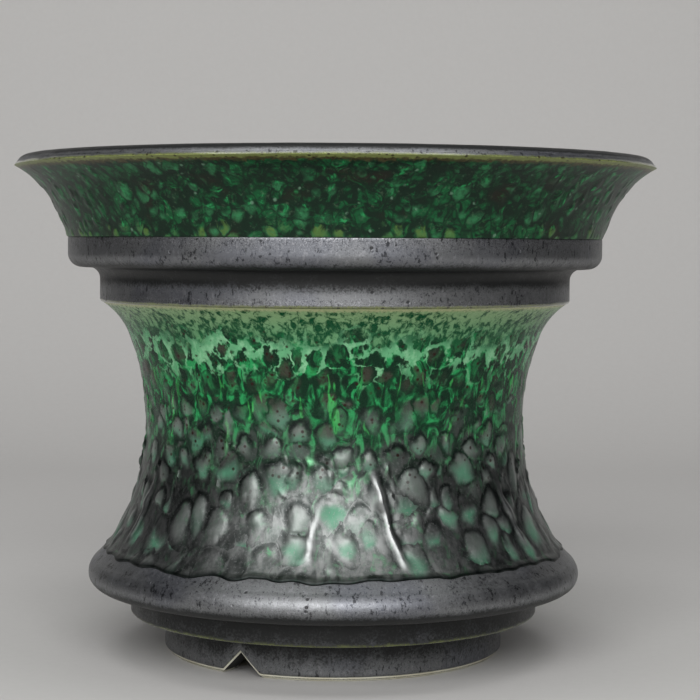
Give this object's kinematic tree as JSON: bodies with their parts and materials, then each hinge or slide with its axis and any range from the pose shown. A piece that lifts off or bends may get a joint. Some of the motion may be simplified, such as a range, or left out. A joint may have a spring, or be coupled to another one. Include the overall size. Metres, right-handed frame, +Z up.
{
  "type": "flower pot",
  "caption": "Waisted round porcelain flower pot, open at the top, with a flared rim, stepped collar, rolled base, drain hole and notched foot, under mottled green and gunmetal glaze.",
  "frame": {"origin": "centre of the foot ring's standing plane, on the pot's axis", "axes": "+Z up along the pot's axis, -Y towards the viewer of the picture, +X to the right in the picture"},
  "size_m": [0.19, 0.19, 0.147],
  "materials": {
    "porcelain": "bare fired porcelain, matt",
    "green_glaze": "thick mottled green reaction glaze, gloss",
    "gunmetal_glaze": "dark metallic glaze, satin, thin and yellow-green at the edges",
    "inner_glaze": "dark olive glaze, gloss"
  },
  "bodies": {
    "root": {"foot_ring": "porcelain", "floor_disc": "porcelain", "base_roll": "porcelain", "waist_wall": "porcelain", "neck_ring": "porcelain", "collar_ring": "porcelain", "rim_flare": "porcelain", "lip_glaze": "gunmetal_glaze", "inner_glaze": "inner_glaze", "rim_glaze": "green_glaze", "band_glaze": "gunmetal_glaze", "waist_glaze": "green_glaze", "base_glaze": "gunmetal_glaze"}
  },
  "joints": []
}
